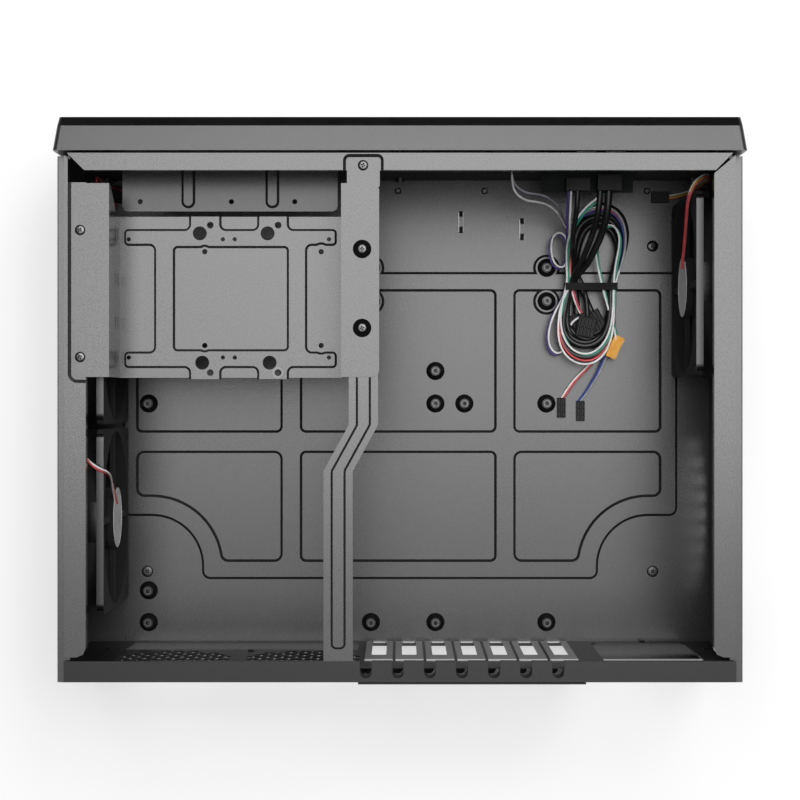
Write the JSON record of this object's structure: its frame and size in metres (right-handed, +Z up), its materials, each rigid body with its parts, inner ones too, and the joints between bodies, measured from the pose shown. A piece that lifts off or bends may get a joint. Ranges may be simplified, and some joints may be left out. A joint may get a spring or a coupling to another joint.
{
  "type": "home theatre computer case",
  "caption": "Low desktop computer case with its top cover off: embossed floor, rails, hanging drive tray, cranked brace, side fans, slot covers and a tied lead harness.",
  "frame": {"origin": "middle of the bounding box, on the table under the feet", "axes": "+X to the right seen from above with the front up, +Y to the front, +Z up"},
  "size_m": [0.44, 0.3626, 0.17],
  "materials": {
    "case_paint": "semi-gloss black powder coat",
    "rear_paint": "matt black powder coat",
    "zinc_sheet": "satin zinc",
    "steel_fasteners": "dull nickel",
    "standoff_steel": "dark with bright tips",
    "bezel_plastic": "fine semi-gloss grain",
    "black_plate": "satin black",
    "black_plastic": "matt black",
    "black_rubber": "matt",
    "lamp_lens": "clear gloss",
    "circuit_board": "satin resist",
    "socket_steel": "bright",
    "black_cable": "satin vinyl",
    "mixed_wires": "satin vinyl"
  },
  "bodies": {
    "chassis": {"audio_jacks": "black_plastic", "audio_lead": "black_cable", "bay_shelf": "case_paint", "board_standoffs": "standoff_steel", "brace_screws": "steel_fasteners", "cable_hank": "black_cable", "cable_tie": "black_plastic", "drive_tray": "case_paint", "fan_filters": "black_plastic", "fan_frame_1": "black_plastic", "fan_frame_2": "black_plastic", "fan_frame_3": "black_plastic", "fan_lead_1": "mixed_wires", "fan_lead_2": "mixed_wires", "fan_lead_3": "mixed_wires", "fan_plugs": "black_plastic", "fan_screws": "steel_fasteners", "floor_pan": "case_paint", "foot_1": "black_plastic", "foot_2": "black_plastic", "foot_3": "black_plastic", "foot_4": "black_plastic", "foot_pads": "black_rubber", "foot_screws": "steel_fasteners", "front_bezel": "bezel_plastic", "front_plate": "black_plate", "front_wall": "case_paint", "io_board": "circuit_board", "io_headers": "black_plastic", "lead_plugs": "black_plastic", "left_side_wall": "case_paint", "power_tail": "mixed_wires", "rear_wall": "rear_paint", "reset_tail": "mixed_wires", "right_side_wall": "case_paint", "rivets": "steel_fasteners", "slot_cover_1": "zinc_sheet", "slot_cover_2": "zinc_sheet", "slot_cover_3": "zinc_sheet", "slot_cover_4": "zinc_sheet", "slot_cover_5": "zinc_sheet", "slot_cover_6": "zinc_sheet", "slot_cover_7": "zinc_sheet", "slot_hood": "rear_paint", "slot_screws": "steel_fasteners", "status_lamps": "lamp_lens", "support_bar": "case_paint", "switch_board": "circuit_board", "switch_header": "black_plastic", "switch_lead": "mixed_wires", "tray_grommets": "black_rubber", "tray_screws": "steel_fasteners", "usb_lead": "black_cable", "usb_sockets": "socket_steel"},
    "fan_wheel_1": {"fan_rotor_1": "black_plastic"},
    "fan_wheel_2": {"fan_rotor_2": "black_plastic"},
    "fan_wheel_3": {"fan_rotor_3": "black_plastic"},
    "bay_flap": {"bay_door": "black_plate"},
    "power_key": {"power_button": "black_plate"},
    "reset_key": {"reset_button": "black_plate"}
  },
  "joints": [
    {"name": "fan_spin_1", "type": "hinge", "parent": "chassis", "child": "fan_wheel_1", "pos_m": [-0.206, -0.0778, 0.08], "axis": [1, 0, 0], "continuous": true},
    {"name": "fan_spin_2", "type": "hinge", "parent": "chassis", "child": "fan_wheel_2", "pos_m": [-0.206, 0.0456, 0.08], "axis": [1, 0, 0], "continuous": true},
    {"name": "fan_spin_3", "type": "hinge", "parent": "chassis", "child": "fan_wheel_3", "pos_m": [0.206, 0.0777, 0.08], "axis": [1, 0, 0], "continuous": true},
    {"name": "bay_flap_hinge", "type": "hinge", "parent": "chassis", "child": "bay_flap", "pos_m": [-0.11, 0.1786, 0.1218], "axis": [-1, 0, 0], "range_deg": [0, 85], "stiffness_Nm_per_rad": 0.02},
    {"name": "power_press", "type": "slide", "parent": "chassis", "child": "power_key", "axis": [0, -1, 0], "range_m": [0, 0.0015], "stiffness_N_per_m": 400},
    {"name": "reset_press", "type": "slide", "parent": "chassis", "child": "reset_key", "axis": [0, -1, 0], "range_m": [0, 0.0012], "stiffness_N_per_m": 400}
  ]
}
